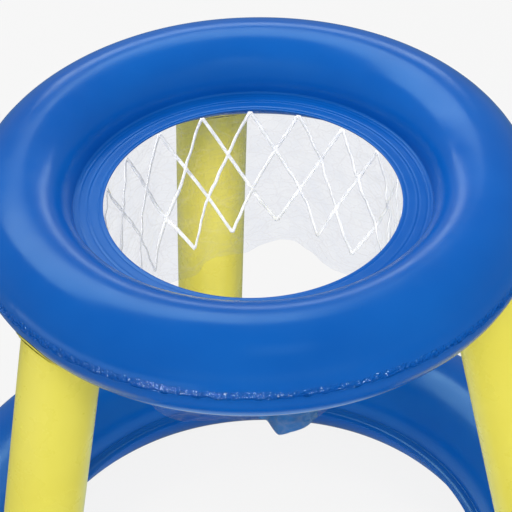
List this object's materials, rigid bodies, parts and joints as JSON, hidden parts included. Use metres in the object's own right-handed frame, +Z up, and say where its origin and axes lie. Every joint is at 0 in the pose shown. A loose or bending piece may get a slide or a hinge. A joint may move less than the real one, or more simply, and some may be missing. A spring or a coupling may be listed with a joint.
{
  "type": "poolside basketball hoop",
  "caption": "Blown-up pool basketball hoop: a hoop ring with a clear film net, held on splayed tubular legs by a wider base ring that floats or stands on the floor.",
  "frame": {"origin": "on the floor, under the middle of the base ring", "axes": "+Z up through the middle of the hoop, -Y towards the side that the picture is taken from"},
  "size_m": [0.67, 0.67, 0.544],
  "materials": {
    "blue_vinyl": "glossy vinyl film",
    "yellow_vinyl": "glossy vinyl film",
    "clear_film": "clear film, lightly crumpled",
    "tinted_film": "smoky blue see-through film",
    "white_strands": "satin white",
    "milky_vinyl": "soft milky vinyl"
  },
  "bodies": {
    "frame": {"hoop_upper_skin": "blue_vinyl", "hoop_lower_skin": "blue_vinyl", "base_upper_skin": "blue_vinyl", "base_lower_skin": "blue_vinyl", "leg_1_sleeve": "yellow_vinyl", "leg_1_top_collar": "yellow_vinyl", "leg_1_foot_collar": "yellow_vinyl", "leg_2_sleeve": "yellow_vinyl", "leg_2_top_collar": "yellow_vinyl", "leg_2_foot_collar": "yellow_vinyl", "leg_3_sleeve": "yellow_vinyl", "leg_3_top_collar": "yellow_vinyl", "leg_3_foot_collar": "yellow_vinyl", "net_film": "clear_film", "net_patch": "tinted_film", "net_band": "clear_film", "net_strands": "white_strands", "hoop_valve_patch": "milky_vinyl", "hoop_valve_boot": "milky_vinyl", "base_valve_patch": "milky_vinyl", "base_valve_boot": "milky_vinyl"},
    "hoop_stem": {"hoop_valve_stem": "milky_vinyl"},
    "hoop_cap": {"hoop_valve_cap": "milky_vinyl"},
    "hoop_flap": {"hoop_valve_flap": "milky_vinyl"},
    "base_stem": {"base_valve_stem": "milky_vinyl"},
    "base_cap": {"base_valve_cap": "milky_vinyl"},
    "base_flap": {"base_valve_flap": "milky_vinyl"}
  },
  "joints": [
    {"name": "hoop_stem_slide", "type": "slide", "parent": "frame", "child": "hoop_stem", "axis": [0.3954, 0.3954, -0.829], "range_m": [0, 0.012]},
    {"name": "hoop_cap_hinge", "type": "hinge", "parent": "hoop_stem", "child": "hoop_cap", "pos_m": [0.15664, 0.14179, 0.46491], "axis": [-0.5862, -0.5862, -0.5592], "range_deg": [0, 150]},
    {"name": "hoop_flap_hinge", "type": "hinge", "parent": "hoop_stem", "child": "hoop_flap", "pos_m": [0.14543, 0.139, 0.47958], "axis": [0.5862, 0.5862, 0.5592], "range_deg": [0, 60], "stiffness_Nm_per_rad": 0.0002},
    {"name": "base_stem_slide", "type": "slide", "parent": "frame", "child": "base_stem", "axis": [0.5862, 0.5862, 0.5592], "range_m": [0, 0.012]},
    {"name": "base_cap_hinge", "type": "hinge", "parent": "base_stem", "child": "base_cap", "pos_m": [0.2366, 0.22175, 0.0908], "axis": [0.3954, 0.3954, -0.829], "range_deg": [0, 150]},
    {"name": "base_flap_hinge", "type": "hinge", "parent": "base_stem", "child": "base_flap", "pos_m": [0.22202, 0.21558, 0.0809], "axis": [-0.3954, -0.3954, 0.829], "range_deg": [0, 60], "stiffness_Nm_per_rad": 0.0002}
  ]
}
